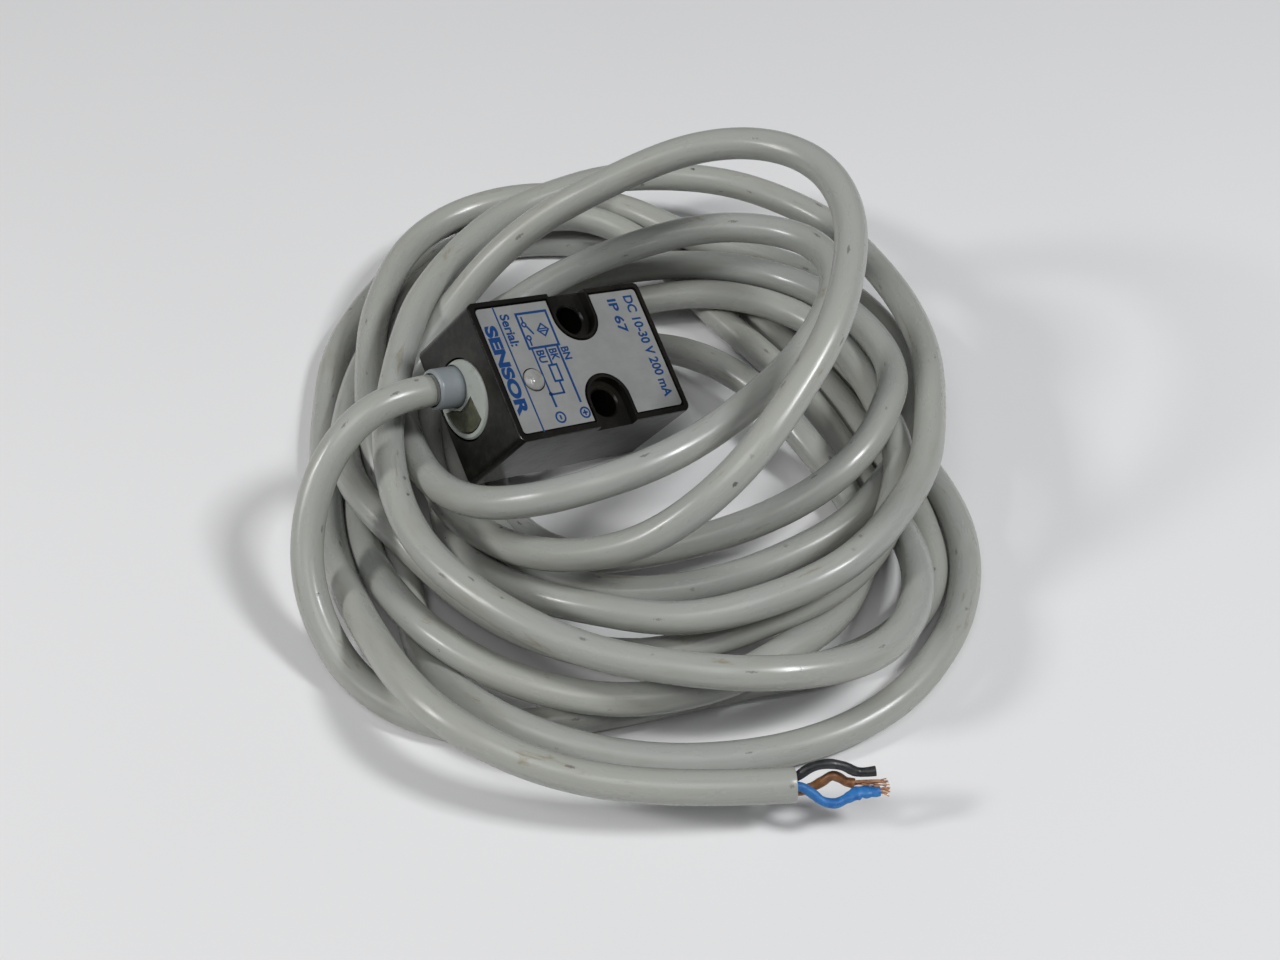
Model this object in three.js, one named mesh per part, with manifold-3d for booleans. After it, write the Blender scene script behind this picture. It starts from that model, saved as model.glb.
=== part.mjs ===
// Block-style inductive proximity sensor with a moulded three-core cable.
// Millimetres, +Z up. The sensor lies tilted on its own coiled cable. The origin is the point on the
// ground under the middle of the sensor; the sensor's lowest corner touches the ground at z = 0.
import * as THREE from "three";
import { mergeVertices } from "three/addons/utils/BufferGeometryUtils.js";
import Module from "manifold-3d";

const wasm = await Module();
wasm.setup();

// ---------------------------------------------------------------- driving dimensions
const BODY_LENGTH = 33;
const BODY_WIDTH = 22.5;
const BODY_HEIGHT = 16;
const CORNER_R = 1.2;
const EDGE_BEVEL = 0.35;
const GAP = 0.3;

// the sensor's own frame runs from the cable end to the sensing end (x) and from the mounting face
// to the label (z); yaw, pitch and roll in degrees lay it on the coil
const SENSOR_YAW = 35.8;
const SENSOR_PITCH = 21.5;
const SENSOR_ROLL = 28;
const SENSOR_AT = [-4.3, 1.5, 10.55];

const RIM_WIDTH = 0.9;
const LABEL_FLOOR_Z = BODY_HEIGHT - 0.55;
const LABEL_THICK = 0.12;
const HOLE_X = 2;
const HOLE_Y = 7;
const HOLE_R = 2.25;
const HOLE_CHAMFER = 0.3;
const RECESS_R = 3.5;
const RECESS_RIM = 0.42;
const RECESS_Z = BODY_HEIGHT - 1.5;

const LED_X = -9.95;
const LED_Y = -2.1;
const LED_R = 1.6;

const DISC_Y = 0;
const DISC_Z = 6.8;
const DISC_R = 6;
const ENTRY_R = 5.85;
const DISC_BACK_X = -BODY_LENGTH / 2 + 2.2;
const DISC_FRONT_X = -BODY_LENGTH / 2 - 0.2;
const SLEEVE_Y = 2.6;
const SLEEVE_Z = 6;
const SLEEVE_R = 3.1;
const SLEEVE_LENGTH = 4.3;
const SLEEVE_END_X = -BODY_LENGTH / 2 - SLEEVE_LENGTH;

const CABLE_R = 2.4;
const CORE_R = 0.75;
const STRAND_R = 0.4;

// loose coil of cable, as a ring stretched along y round COIL_AT
const COIL_AT = [14, 1, 0];
const COIL_MIDDLE_R = 36.5;
const COIL_HALF = [7.5, 5.4];
const COIL_ROUND = 4;
const COIL_STRETCH = 1.28;

const POCKET_HALF = 4;
const POCKET_Z = [2, 12.2];
const POCKET_END_X = 9;
const COIL_Z = 7.2;
const COIL_BORE_R = 6.1;

// ---------------------------------------------------------------- solids and booleans
const COLOURS = {
  blackPaint: [0x2b2825, 0.5, 0.4],
  foil: [0xb9bdc0, 0.4, 0.4],
  clear: [0xd9dcd6, 0.15, 0],
  whitePlastic: [0xc4c8c4, 0.5, 0],
  greyPlastic: [0xa7adb0, 0.45, 0],
  resin: [0x5d5f4a, 0.35, 0],
  blackResin: [0x1c1c1b, 0.6, 0],
  pvc: [0x9c9f98, 0.45, 0],
  brass: [0xb08a45, 0.35, 1],
  board: [0x2f5a35, 0.6, 0],
  chip: [0x1a1a1c, 0.5, 0],
  ceramic: [0xa88c66, 0.5, 0],
  ferrite: [0x36363a, 0.6, 0.2],
  nylon: [0xd8d2bd, 0.5, 0],
  copper: [0xb4683a, 0.35, 1],
  capPlastic: [0x222222, 0.5, 0],
  coreBlack: [0x141414, 0.4, 0],
  coreBrown: [0x7a4420, 0.4, 0],
  coreBlue: [0x1f6cb8, 0.4, 0],
};

function toSolid(geometry) {
  const bare = geometry.clone();
  bare.deleteAttribute("normal");
  bare.deleteAttribute("uv");
  const merged = mergeVertices(bare, 1e-4);
  return new wasm.Manifold(
    new wasm.Mesh({
      numProp: 3,
      vertProperties: Float32Array.from(merged.attributes.position.array),
      triVerts: Uint32Array.from(merged.index.array),
    }),
  );
}

function toGeometry(solid) {
  const mesh = solid.getMesh();
  const geometry = new THREE.BufferGeometry();
  geometry.setAttribute("position", new THREE.BufferAttribute(Float32Array.from(mesh.vertProperties), 3));
  geometry.setIndex(Array.from(mesh.triVerts));
  geometry.computeVertexNormals();
  return geometry;
}

function cut(base, ...tools) {
  return toGeometry(tools.reduce((solid, tool) => solid.subtract(toSolid(tool)), toSolid(base)));
}

function join(base, ...others) {
  return toGeometry(others.reduce((solid, other) => solid.add(toSolid(other)), toSolid(base)));
}

function box(x0, x1, y0, y1, z0, z1) {
  const geometry = new THREE.BoxGeometry(x1 - x0, y1 - y0, z1 - z0);
  return geometry.translate((x0 + x1) / 2, (y0 + y1) / 2, (z0 + z1) / 2);
}

// round bar along x, from x0 (radius r0) to x1 (radius r1)
function rodX(r0, r1, x0, x1, y, z, sides = 32) {
  const geometry = new THREE.CylinderGeometry(r1, r0, x1 - x0, sides);
  return geometry.rotateZ(-Math.PI / 2).translate((x0 + x1) / 2, y, z);
}

// round bar along z, from z0 (radius r0) to z1 (radius r1)
function rodZ(r0, r1, z0, z1, x, y, sides = 32) {
  const geometry = new THREE.CylinderGeometry(r1, r0, z1 - z0, sides);
  return geometry.rotateX(Math.PI / 2).translate(x, y, (z0 + z1) / 2);
}

// turned part about an axis along x: the profile is a list of [radius, x]
function turnedX(profile, y, z, sides = 32) {
  const points = profile.map(([radius, x]) => new THREE.Vector2(radius, x));
  return new THREE.LatheGeometry(points, sides).rotateZ(-Math.PI / 2).translate(0, y, z);
}

// turned part about an axis along z: the profile is a list of [radius, z]
function turnedZ(profile, x, y, sides = 24) {
  const points = profile.map(([radius, z]) => new THREE.Vector2(radius, z));
  return new THREE.LatheGeometry(points, sides).rotateX(Math.PI / 2).translate(x, y, 0);
}

function roundedRectangle(halfX, halfY, r) {
  const shape = new THREE.Shape();
  shape.moveTo(halfX, -halfY + r);
  shape.absarc(halfX - r, halfY - r, r, 0, Math.PI / 2);
  shape.absarc(-halfX + r, halfY - r, r, Math.PI / 2, Math.PI);
  shape.absarc(-halfX + r, -halfY + r, r, Math.PI, 1.5 * Math.PI);
  shape.absarc(halfX - r, -halfY + r, r, 1.5 * Math.PI, 2 * Math.PI);
  return shape;
}

function slab(shape, z0, z1, curveSegments = 8) {
  return new THREE.ExtrudeGeometry(shape, { depth: z1 - z0, bevelEnabled: false, curveSegments })
    .translate(0, 0, z0);
}

// U-shaped cutter round a screw hole, open to the long side of the body (side is +1 or -1)
function screwRecess(side, r, z0, z1) {
  const edge = BODY_WIDTH / 2 + 1;
  const round = rodZ(r, r, z0, z1, HOLE_X, side * HOLE_Y, 40);
  const y0 = side > 0 ? HOLE_Y : -edge;
  const y1 = side > 0 ? edge : -HOLE_Y;
  return join(round, box(HOLE_X - r, HOLE_X + r, y0, y1, z0, z1));
}

function tube(points, r, steps, sides) {
  const ring = new THREE.Shape().absarc(0, 0, r, 0, 2 * Math.PI);
  const path = new THREE.CatmullRomCurve3(points.map((point) => new THREE.Vector3(...point)));
  return new THREE.ExtrudeGeometry(ring, { steps, extrudePath: path, curveSegments: sides / 2 });
}

function part(name, geometry, [color, roughness, metalness]) {
  const mesh = new THREE.Mesh(geometry, new THREE.MeshStandardMaterial({ color, roughness, metalness }));
  mesh.name = name;
  return mesh;
}

// ---------------------------------------------------------------- housing and its fittings
function housing() {
  const outline = roundedRectangle(BODY_LENGTH / 2, BODY_WIDTH / 2, CORNER_R);
  const block = new THREE.ExtrudeGeometry(outline, {
    depth: BODY_HEIGHT - 2 * EDGE_BEVEL,
    bevelThickness: EDGE_BEVEL,
    bevelSize: EDGE_BEVEL,
    bevelOffset: -EDGE_BEVEL,
    bevelSegments: 2,
    curveSegments: 6,
  }).translate(0, 0, EDGE_BEVEL);
  const above = BODY_HEIGHT + 1;
  const inside = roundedRectangle(BODY_LENGTH / 2 - RIM_WIDTH, BODY_WIDTH / 2 - RIM_WIDTH, 0.7);
  const labelBed = cut(
    slab(inside, LABEL_FLOOR_Z, above),
    screwRecess(1, RECESS_R + RECESS_RIM, LABEL_FLOOR_Z - 1, above + 1),
    screwRecess(-1, RECESS_R + RECESS_RIM, LABEL_FLOOR_Z - 1, above + 1),
  );
  const tools = [labelBed];
  for (const side of [1, -1]) {
    tools.push(screwRecess(side, RECESS_R, RECESS_Z, above));
    tools.push(rodZ(HOLE_R, HOLE_R, -1, above, HOLE_X, side * HOLE_Y, 40));
    const chamferR = HOLE_R + HOLE_CHAMFER;
    tools.push(rodZ(HOLE_R, chamferR, RECESS_Z - HOLE_CHAMFER, RECESS_Z + 0.001, HOLE_X, side * HOLE_Y, 40));
  }
  const end = BODY_LENGTH / 2 + 1;
  tools.push(rodX(DISC_R + GAP, DISC_R + GAP, -end, DISC_BACK_X, DISC_Y, DISC_Z, 48));
  tools.push(rodX(ENTRY_R, ENTRY_R, DISC_BACK_X - 1, -9.3, DISC_Y, DISC_Z, 40));
  tools.push(box(-10, POCKET_END_X, -POCKET_HALF, POCKET_HALF, POCKET_Z[0], POCKET_Z[1]));
  tools.push(rodX(COIL_BORE_R, COIL_BORE_R, POCKET_END_X - 0.5, end, 0, COIL_Z, 40));
  tools.push(rodZ(LED_R + GAP, LED_R + GAP, DISC_Z, above, LED_X, LED_Y, 24));
  return part("housing", cut(block, ...tools), COLOURS.blackPaint);
}

function labelPlate() {
  const clear = RIM_WIDTH + GAP;
  const outline = roundedRectangle(BODY_LENGTH / 2 - clear, BODY_WIDTH / 2 - clear, 0.6);
  const z0 = LABEL_FLOOR_Z + GAP;
  const recessR = RECESS_R + RECESS_RIM + GAP;
  const plate = cut(
    slab(outline, z0, z0 + LABEL_THICK),
    screwRecess(1, recessR, 0, 20),
    screwRecess(-1, recessR, 0, 20),
    rodZ(LED_R + GAP, LED_R + GAP, 0, 20, LED_X, LED_Y, 24),
  );
  return part("label_plate", plate, COLOURS.foil);
}

// light guide: a stem over the indicator LED, with a low dome that stands out of the label
function ledWindow() {
  const top = BODY_HEIGHT;
  const profile = [[0, 9.2], [1.1, 9.2], [1.1, 14.2], [LED_R, 14.6], [LED_R, top - 0.1]];
  for (let i = 1; i <= 6; i += 1) {
    const turn = (i / 6) * (Math.PI / 2);
    profile.push([LED_R * Math.cos(turn), top - 0.1 + 0.65 * Math.sin(turn)]);
  }
  profile[profile.length - 1][0] = 0;
  return part("led_window", turnedZ(profile, LED_X, LED_Y), COLOURS.clear);
}

// opening in the end disc through which the potting resin shows, as [y, z] from the disc's middle
function discWindow(inset, x0, x1) {
  const rim = DISC_R - 0.85 - inset;
  const shape = new THREE.Shape();
  const from = 2.6;
  const to = 4.75;
  shape.moveTo(rim * Math.cos(from), rim * Math.sin(from));
  shape.absarc(0, 0, rim, from, to);
  shape.lineTo(-0.1 - inset, -3.6 + inset);
  shape.lineTo(-1.15 - inset, -1.5);
  shape.lineTo(-0.9 - inset, 0.6);
  shape.lineTo(-0.4 - inset, 2.2 - inset);
  const geometry = new THREE.ExtrudeGeometry(shape, { depth: x1 - x0, bevelEnabled: false });
  // the shape's x is the sensor's y, its y the sensor's z, and its depth the sensor's x
  const turned = new THREE.Matrix4().makeBasis(
    new THREE.Vector3(0, 1, 0),
    new THREE.Vector3(0, 0, 1),
    new THREE.Vector3(1, 0, 0),
  );
  return geometry.applyMatrix4(turned).translate(x0, DISC_Y, DISC_Z);
}

function endDisc() {
  const bevel = 0.3;
  const profile = [
    [0, DISC_FRONT_X],
    [DISC_R - bevel, DISC_FRONT_X],
    [DISC_R, DISC_FRONT_X + bevel],
    [DISC_R, DISC_BACK_X - GAP],
    [0, DISC_BACK_X - GAP],
  ];
  const disc = turnedX(profile, DISC_Y, DISC_Z, 48);
  const bore = rodX(SLEEVE_R + 0.2, SLEEVE_R + 0.2, -20, -10, SLEEVE_Y, SLEEVE_Z, 32);
  return part("end_disc", cut(disc, bore, discWindow(0, -20, -10)), COLOURS.whitePlastic);
}

function cableSleeve() {
  const bore = CABLE_R + 0.15;
  const lip = 0.55;
  const back = DISC_BACK_X - GAP;
  const profile = [
    [bore, SLEEVE_END_X],
    [SLEEVE_R - lip, SLEEVE_END_X],
    [SLEEVE_R - 0.15, SLEEVE_END_X + 0.2],
    [SLEEVE_R, SLEEVE_END_X + lip],
    [SLEEVE_R, back],
    [bore, back],
    [bore, SLEEVE_END_X],
  ];
  return part("cable_sleeve", turnedX(profile, SLEEVE_Y, SLEEVE_Z), COLOURS.greyPlastic);
}

function resinPlug() {
  const plug = rodX(ENTRY_R - GAP, ENTRY_R - GAP, DISC_BACK_X + 0.05, -12, DISC_Y, DISC_Z, 32);
  const boss = discWindow(0.25, -BODY_LENGTH / 2 - 0.1, DISC_BACK_X + 0.5);
  const bore = rodX(SLEEVE_R + 0.1, SLEEVE_R + 0.1, -20, -10, SLEEVE_Y, SLEEVE_Z, 32);
  return part("resin_plug", cut(join(plug, boss), bore), COLOURS.resin);
}

// ---------------------------------------------------------------- cable entry inside the housing
function cableEntry() {
  const stub = rodX(CABLE_R - 0.1, CABLE_R - 0.1, SLEEVE_END_X + 0.05, -12.3, SLEEVE_Y, SLEEVE_Z, 24);
  const clampAt = -13.4;
  const clamp = [
    [2.55, clampAt - 0.5],
    [2.9, clampAt - 0.5],
    [2.9, clampAt + 0.5],
    [2.55, clampAt + 0.5],
    [2.55, clampAt - 0.5],
  ];
  const pieces = [
    part("cable_end_inner", stub, COLOURS.pvc),
    part("crimp_ring", turnedX(clamp, SLEEVE_Y, SLEEVE_Z, 24), COLOURS.brass),
  ];
  const leads = [
    ["lead_brown", COLOURS.coreBrown, [[-12, 3.7, 7.7], [-11, 3.3, 7.9], [-9.9, 2.4, 7.9], [-8.7, 1.7, 7.9]]],
    ["lead_black", COLOURS.coreBlack, [[-12, 1.5, 7.7], [-11, 1.1, 7.9], [-9.9, 0.5, 7.9], [-8.7, 0.2, 7.9]]],
    ["lead_blue", COLOURS.coreBlue, [[-12, 2.6, 4.6], [-11, 2.3, 4.9], [-9.9, 1.8, 5.2], [-8.7, 1.5, 5.3]]],
  ];
  for (const [name, colour, route] of leads) {
    pieces.push(part(name, tube(route, 0.45, 8, 8), colour));
  }
  return pieces;
}

// ---------------------------------------------------------------- electronics
function electronics() {
  const boardZ = [6.2, 7];
  const top = boardZ[1] + GAP;
  const under = boardZ[0] - GAP;
  const board = box(-11.2, 7.2, -2.8, 2.8, boardZ[0], boardZ[1]);
  const on = (x, y, dx, dy, h) => box(x - dx / 2, x + dx / 2, y - dy / 2, y + dy / 2, top, top + h);
  const below = (x, y, dx, dy, h) => box(x - dx / 2, x + dx / 2, y - dy / 2, y + dy / 2, under - h, under);
  const pieces = [
    part("circuit_board", board, COLOURS.board),
    part("indicator_led", on(LED_X, LED_Y + 0.3, 1.6, 0.9, 0.8), COLOURS.clear),
    part("output_transistor", on(-4.6, 0, 3, 2.6, 1.3), COLOURS.chip),
    part("oscillator_ic", on(0.2, 0, 4.9, 3.9, 1.6), COLOURS.chip),
    part("resonance_capacitor", on(4.9, 0.9, 3.2, 1.6, 1.4), COLOURS.ceramic),
    part("smoothing_capacitor", below(-5.5, 0, 3.5, 2.8, 1.6), COLOURS.ceramic),
    part("protection_diode", below(4.6, 0, 4.3, 2.6, 1.6), COLOURS.chip),
  ];
  for (let i = 0; i < 3; i += 1) {
    pieces.push(part(`chip_resistor_${i + 1}`, below(-2.4 + 1.6 * i, 0, 1.2, 2, 0.5), COLOURS.chip));
  }
  const block = box(-8.3, 8.2, -POCKET_HALF + GAP, POCKET_HALF - GAP, POCKET_Z[0] + GAP, POCKET_Z[1] - GAP);
  const room = box(-9, 7.6, -3.15, 3.15, 3.9, 9.3);
  const leadWay = box(7, 9, -2.7, 2.7, 7.2, 8.9);
  pieces.push(part("potting_fill", cut(block, room, leadWay), COLOURS.blackResin));
  return pieces;
}

// ---------------------------------------------------------------- coil behind the sensing face
function sensingHead() {
  const face = BODY_LENGTH / 2;
  const capR = COIL_BORE_R - GAP;
  const cap = [
    [0, face],
    [capR - 0.25, face],
    [capR, face - 0.25],
    [capR, 10],
    [capR - 0.6, 10],
    [capR - 0.6, face - 0.9],
    [0, face - 0.9],
  ];
  const core = [
    [0, 11.2],
    [4.8, 11.2],
    [4.8, 15.2],
    [4, 15.2],
    [4, 12.4],
    [1.7, 12.4],
    [1.7, 15.2],
    [0, 15.2],
  ];
  const bobbin = [
    [1.95, 12.7],
    [3.7, 12.7],
    [3.7, 13.1],
    [2.35, 13.1],
    [2.35, 14.7],
    [3.7, 14.7],
    [3.7, 15.1],
    [1.95, 15.1],
    [1.95, 12.7],
  ];
  const winding = [
    [2.6, 13.35],
    [3.55, 13.35],
    [3.55, 14.45],
    [2.6, 14.45],
    [2.6, 13.35],
  ];
  const leadHole = rodX(1.1, 1.1, 11, 12.5, 0, COIL_Z + 2.8, 16);
  const pieces = [
    part("sensing_cap", turnedX(cap.slice().reverse(), 0, COIL_Z, 40), COLOURS.capPlastic),
    part("ferrite_core", cut(turnedX(core, 0, COIL_Z, 32), leadHole), COLOURS.ferrite),
    part("coil_bobbin", turnedX(bobbin, 0, COIL_Z), COLOURS.nylon),
    part("coil_winding", turnedX(winding, 0, COIL_Z), COLOURS.copper),
  ];
  for (const side of [1, -1]) {
    const route = [
      [12.4, 0.45 * side, COIL_Z + 2.8],
      [11, 0.5 * side, COIL_Z + 2.6],
      [8.6, 1.2 * side, 8],
      [6.9, 2.2 * side, 7.8],
    ];
    pieces.push(part(side > 0 ? "coil_lead_1" : "coil_lead_2", tube(route, 0.18, 8, 6), COLOURS.copper));
  }
  return pieces;
}

const sensor = new THREE.Group();
sensor.add(housing(), labelPlate(), ledWindow(), endDisc(), cableSleeve(), resinPlug());
sensor.add(...cableEntry(), ...electronics(), ...sensingHead());
sensor.rotation.order = "ZYX";
sensor.rotation.set(...[SENSOR_ROLL, SENSOR_PITCH, SENSOR_YAW].map(THREE.MathUtils.degToRad));
sensor.position.set(...SENSOR_AT);

// ---------------------------------------------------------------- cable outside the sensor
const LEAD_ROUTE = [
  [-18, -9, 24.4],
  [-21, -11.1, 25.8],
  [-24, -12.9, 26.4],
  [-27, -15, 25.8],
  [-30, -18, 24],
  [-33, -21.5, 20.5],
  [-34.5, -25, 17],
  [-35.2, -29, 13.5],
  [-35, -33, 10.5],
  [-33.8, -36.5, 7.8],
  [-32, -40, 5.5],
];
const LOOP_ROUTE = [
  [4.3, -34.1, 16.6],
  [13, -36.7, 22.4],
  [20.4, -35.5, 28],
  [28, -30.6, 33.5],
  [34.8, -21.3, 37.5],
  [39.4, -14, 40.5],
  [42.3, -4.4, 42.5],
  [43.5, 7.1, 44],
  [40.4, 17.5, 44.5],
  [35.6, 22.5, 44],
  [30.3, 25.4, 43],
  [24.4, 26.9, 41.5],
  [18.5, 27.3, 39.5],
  [13, 27.5, 36.5],
  [6.9, 26.7, 33.5],
  [0.2, 26.2, 29.5],
  [-6.2, 24.5, 25.5],
  [-12.8, 21.4, 20],
];
const TAIL_ROUTE = [
  [-29.8, -29.9, 4.6],
  [-25.5, -39.8, 7.9],
  [-20.3, -49.8, 11.2],
  [-14.7, -57.2, 12.8],
  [-8.3, -61.7, 12.5],
  [-0.5, -64.9, 11.2],
  [8.2, -66.6, 10],
  [16.9, -67.2, 9.6],
  [25.6, -67.1, 9.4],
  [33.4, -66.5, 9.1],
];
const CORE_ROUTES = {
  core_black: [
    [33.9, -65.5, 9.9],
    [35.4, -64.9, 11.7],
    [37.4, -64.6, 12.7],
    [39.6, -64.5, 12.5],
    [41.8, -64.6, 11.5],
    [44.8, -64.6, 11.1],
  ],
  core_brown: [
    [33.9, -66.3, 8.1],
    [36.4, -65.9, 8.6],
    [38.4, -65.5, 9.5],
    [39.9, -65.1, 9.8],
    [41.8, -65.3, 8.7],
  ],
  core_blue: [
    [33.9, -67.1, 9.8],
    [36.3, -67.9, 8.5],
    [37.7, -68.4, 7.6],
    [39.5, -68.8, 7.4],
    [41.2, -68.2, 7.4],
    [42.8, -67.3, 7.5],
    [45.3, -66.8, 7.6],
  ],
};
const BARE_ROUTES = {
  strands_brown: [
    [42.1, -65.3, 8.5],
    [43.9, -65.3, 8],
    [46.6, -65.3, 7.7],
  ],
  strands_blue: [
    [45.6, -66.8, 7.6],
    [46.4, -66.9, 7.5],
    [47.2, -67, 7.4],
  ],
};

function coilRing() {
  const profile = [];
  const corners = [[1, -1, -0.5], [1, 1, 0], [-1, 1, 0.5], [-1, -1, 1]];
  for (const [sideR, sideZ, quarter] of corners) {
    for (let i = 0; i <= 3; i += 1) {
      const turn = (quarter + i / 6) * Math.PI;
      const r = COIL_MIDDLE_R + sideR * (COIL_HALF[0] - COIL_ROUND) + COIL_ROUND * Math.cos(turn);
      const z = COIL_HALF[1] + sideZ * (COIL_HALF[1] - COIL_ROUND) + COIL_ROUND * Math.sin(turn);
      profile.push([r, z]);
    }
  }
  profile.push(profile[0]);
  const ring = part("cable_coil", turnedZ(profile, 0, 0, 48).scale(1, COIL_STRETCH, 1), COLOURS.pvc);
  ring.position.set(...COIL_AT);
  return ring;
}

function cable() {
  const pieces = [
    coilRing(),
    part("cable_lead", tube(LEAD_ROUTE, CABLE_R, 12, 10), COLOURS.pvc),
    part("cable_loop", tube(LOOP_ROUTE, CABLE_R, 30, 10), COLOURS.pvc),
    part("cable_tail", tube(TAIL_ROUTE, CABLE_R, 16, 10), COLOURS.pvc),
  ];
  const coreColours = {
    core_black: COLOURS.coreBlack,
    core_brown: COLOURS.coreBrown,
    core_blue: COLOURS.coreBlue,
  };
  for (const [name, route] of Object.entries(CORE_ROUTES)) {
    pieces.push(part(name, tube(route, CORE_R, 10, 8), coreColours[name]));
  }
  for (const [name, route] of Object.entries(BARE_ROUTES)) {
    pieces.push(part(name, tube(route, STRAND_R, 4, 8), COLOURS.copper));
  }
  return pieces;
}

const model = new THREE.Group();
model.add(sensor, ...cable());
export default model;
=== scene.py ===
"""Looks of a block-style inductive proximity sensor that lies on its own loose coil of cable."""

import math

import bmesh
import bpy
import numpy as np
from mathutils import Matrix, Vector


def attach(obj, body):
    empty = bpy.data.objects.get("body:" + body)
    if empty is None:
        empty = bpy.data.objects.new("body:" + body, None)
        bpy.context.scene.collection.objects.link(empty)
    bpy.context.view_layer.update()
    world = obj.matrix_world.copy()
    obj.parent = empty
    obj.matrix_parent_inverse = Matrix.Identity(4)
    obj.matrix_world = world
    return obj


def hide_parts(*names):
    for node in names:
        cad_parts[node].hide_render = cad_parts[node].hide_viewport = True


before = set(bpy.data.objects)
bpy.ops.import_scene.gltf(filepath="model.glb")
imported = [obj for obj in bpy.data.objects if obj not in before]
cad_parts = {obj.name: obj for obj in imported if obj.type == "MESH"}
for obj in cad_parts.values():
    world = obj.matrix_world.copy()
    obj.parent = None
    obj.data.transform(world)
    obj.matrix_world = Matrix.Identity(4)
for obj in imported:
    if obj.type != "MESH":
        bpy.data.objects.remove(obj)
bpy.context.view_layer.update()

MM = 0.001

# ---------------------------------------------------------------- the sensor's own frame
# x from the cable end to the sensing end, y across, z from the mounting face to the label, in mm
BODY = (33.0, 22.5, 16.0)
SENSOR_TURN = (
    Matrix.Rotation(math.radians(35.8), 4, "Z")
    @ Matrix.Rotation(math.radians(21.5), 4, "Y")
    @ Matrix.Rotation(math.radians(28.0), 4, "X")
)
SENSOR_PLACE = (-4.3, 1.5, 10.55)
SENSOR = Matrix.Translation(Vector(SENSOR_PLACE) * MM) @ SENSOR_TURN @ Matrix.Scale(MM, 4)
TO_LOCAL = SENSOR.inverted()

LABEL_TOP = 15.87
DISC_Y, DISC_Z = 0.0, 6.8
LED_X, LED_Y = -9.95, -2.1
LED_SPREAD = 1.08
CABLE_R = 2.4
CORE_R = 0.66
WIRE_R = 0.085

# ---------------------------------------------------------------- camera, floor and light
scene = bpy.context.scene
scene.view_settings.view_transform = "Standard"
scene.view_settings.look = "None"
scene.view_settings.exposure = 0.0


def camera():
    data = bpy.data.cameras.new("camera")
    data.lens = 50
    data.sensor_width = 36
    data.clip_start = 0.01
    obj = bpy.data.objects.new("camera", data)
    obj.location = Vector((13.0, -190.4, 212.55)) * MM
    obj.rotation_euler = (math.radians(90 - 48.93), 0, 0)
    scene.collection.objects.link(obj)
    scene.camera = obj


LIGHT_AIM = Vector((0.012, 0.0, 0.01))


def area_light(name, towards, distance, size, power, colour=(1, 1, 1)):
    data = bpy.data.lights.new(name, "AREA")
    data.shape = "RECTANGLE"
    data.size, data.size_y = size
    data.energy = power
    data.color = colour
    obj = bpy.data.objects.new(name, data)
    direction = Vector(towards).normalized()
    obj.location = LIGHT_AIM + direction * distance
    obj.rotation_euler = direction.to_track_quat("Z", "Y").to_euler()
    scene.collection.objects.link(obj)


camera()
area_light("light_left", (-0.79, -0.22, 0.57), 0.62, (0.08, 0.1), 1.4, (1.0, 0.995, 0.985))
area_light("light_right", (0.58, -0.18, 0.79), 0.75, (0.12, 0.14), 2.85, (0.98, 0.99, 1.0))
area_light("light_top", (-0.1, -0.4, 0.91), 1.1, (0.6, 0.5), 2.5)

world = bpy.data.worlds.new("world")
scene.world = world
world.use_nodes = True
world.node_tree.nodes["Background"].inputs["Color"].default_value = (0.95, 0.97, 1.0, 1)
world.node_tree.nodes["Background"].inputs["Strength"].default_value = 0.13


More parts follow.
